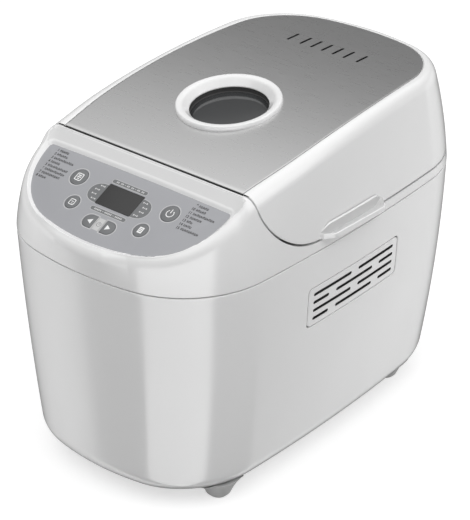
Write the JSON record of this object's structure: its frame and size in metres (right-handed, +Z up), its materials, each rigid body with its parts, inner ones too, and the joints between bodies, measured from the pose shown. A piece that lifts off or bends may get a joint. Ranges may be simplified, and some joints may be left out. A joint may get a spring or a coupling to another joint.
{
  "type": "bread machine",
  "caption": "Upright bread machine with a domed hinged lid and round window, sloping key panel, lift-out loaf pan with bail and kneading paddle, and belt drive.",
  "frame": {"origin": "on the floor under the middle of the footprint's bounding box, hinge barrels included", "axes": "+Z up, -Y the console front, +X to the right when facing the console"},
  "size_m": [0.2536, 0.3936, 0.2907],
  "materials": {
    "white_plastic": "glossy white moulded plastic",
    "foot_plastic": "satin pale grey plastic",
    "black_plastic": "matt black plastic",
    "panel_film": "satin grey printed film",
    "key_plastic": "satin dark grey keys with white marks",
    "display_lens": "dark clear display lens",
    "window_glass": "dark tinted glass",
    "brushed_plate": "stainless steel brushed across",
    "sheet_metal": "bare galvanised sheet",
    "seal_silicone": "pale silicone",
    "belt_rubber": "black toothed rubber",
    "heater_steel": "heat-browned steel sheath",
    "non_stick": "dark non-stick coating",
    "aluminium": "plain cast aluminium",
    "bright_steel": "bright plated steel",
    "circuit_board": "green circuit board"
  },
  "bodies": {
    "housing": {"lower_shell": "white_plastic", "base_plate": "black_plastic", "foot_front_right": "foot_plastic", "foot_front_left": "foot_plastic", "foot_rear_right": "foot_plastic", "foot_rear_left": "foot_plastic", "base_screw_front_right": "bright_steel", "base_screw_front_left": "bright_steel", "base_screw_rear_right": "bright_steel", "base_screw_rear_left": "bright_steel", "mains_gland": "black_plastic", "side_grille_right": "white_plastic", "side_grille_left": "white_plastic", "upper_housing": "white_plastic", "control_membrane": "panel_film", "display_lens": "display_lens", "display_module": "black_plastic", "control_board": "circuit_board", "hinge_pin_right": "bright_steel", "hinge_pin_left": "bright_steel", "oven_chamber": "sheet_metal", "heating_element": "heater_steel", "temperature_sensor": "bright_steel", "chassis": "sheet_metal", "spindle_bush": "bright_steel", "drive_belt": "belt_rubber", "motor": "sheet_metal", "power_board": "circuit_board", "pan_socket": "sheet_metal"},
    "lid": {"lid_shell": "white_plastic", "lid_plate": "brushed_plate", "window_bezel": "white_plastic", "window_glass": "window_glass", "window_retainer": "black_plastic", "lid_frame": "white_plastic", "lid_liner": "sheet_metal", "lid_seal": "seal_silicone"},
    "menu_key": {"key_menu": "key_plastic"},
    "start_stop_key": {"key_start_stop": "key_plastic"},
    "crust_key": {"key_crust": "key_plastic"},
    "loaf_key": {"key_loaf": "key_plastic"},
    "less_key": {"key_less": "key_plastic"},
    "more_key": {"key_more": "key_plastic"},
    "drive": {"drive_spindle": "bright_steel", "drive_pulley": "black_plastic"},
    "motor_rotor": {"motor_shaft": "bright_steel", "motor_pulley": "aluminium"},
    "pan": {"bread_pan": "non_stick", "pan_foot": "aluminium", "pan_bush": "bright_steel"},
    "kneading_shaft": {"pan_shaft": "bright_steel"},
    "paddle": {"kneading_paddle": "non_stick"},
    "bail": {"pan_bail": "bright_steel"}
  },
  "joints": [
    {"name": "lid_hinge", "type": "hinge", "parent": "housing", "child": "lid", "pos_m": [0, 0.19275, 0.2115], "axis": [-1, 0, 0], "range_deg": [0, 80]},
    {"name": "menu_press", "type": "slide", "parent": "housing", "child": "menu_key", "axis": [0, 0.4478, -0.8942], "range_m": [0, 0.0008], "stiffness_N_per_m": 400, "springref_m": -0.0005},
    {"name": "start_stop_press", "type": "slide", "parent": "housing", "child": "start_stop_key", "axis": [0, 0.4478, -0.8942], "range_m": [0, 0.0008], "stiffness_N_per_m": 400, "springref_m": -0.0005},
    {"name": "crust_press", "type": "slide", "parent": "housing", "child": "crust_key", "axis": [0, 0.4478, -0.8942], "range_m": [0, 0.0008], "stiffness_N_per_m": 400, "springref_m": -0.0005},
    {"name": "loaf_press", "type": "slide", "parent": "housing", "child": "loaf_key", "axis": [0, 0.4478, -0.8942], "range_m": [0, 0.0008], "stiffness_N_per_m": 400, "springref_m": -0.0005},
    {"name": "less_press", "type": "slide", "parent": "housing", "child": "less_key", "axis": [0, 0.4478, -0.8942], "range_m": [0, 0.0008], "stiffness_N_per_m": 400, "springref_m": -0.0005},
    {"name": "more_press", "type": "slide", "parent": "housing", "child": "more_key", "axis": [0, 0.4478, -0.8942], "range_m": [0, 0.0008], "stiffness_N_per_m": 400, "springref_m": -0.0005},
    {"name": "drive_spin", "type": "hinge", "parent": "housing", "child": "drive", "pos_m": [0, 0.01335, 0.03], "axis": [0, 0, 1], "continuous": true},
    {"name": "motor_spin", "type": "hinge", "parent": "housing", "child": "motor_rotor", "pos_m": [-0.026, -0.13475, 0.03], "axis": [0, 0, 1], "continuous": true},
    {"name": "pan_lift", "type": "slide", "parent": "housing", "child": "pan", "axis": [0, 0, 1], "range_m": [0, 0.05]},
    {"name": "shaft_spin", "type": "hinge", "parent": "pan", "child": "kneading_shaft", "pos_m": [0, 0.01335, 0.08], "axis": [0, 0, 1], "continuous": true},
    {"name": "paddle_lift", "type": "slide", "parent": "kneading_shaft", "child": "paddle", "axis": [0, 0, 1], "range_m": [0, 0.02]},
    {"name": "bail_swing", "type": "hinge", "parent": "pan", "child": "bail", "pos_m": [0, 0.01335, 0.1785], "axis": [0, -1, 0], "range_deg": [0, 157]}
  ],
  "couplings": [
    {"joint": "motor_spin", "follows": "drive_spin", "ratio": 6},
    {"joint": "shaft_spin", "follows": "drive_spin", "ratio": 1}
  ]
}
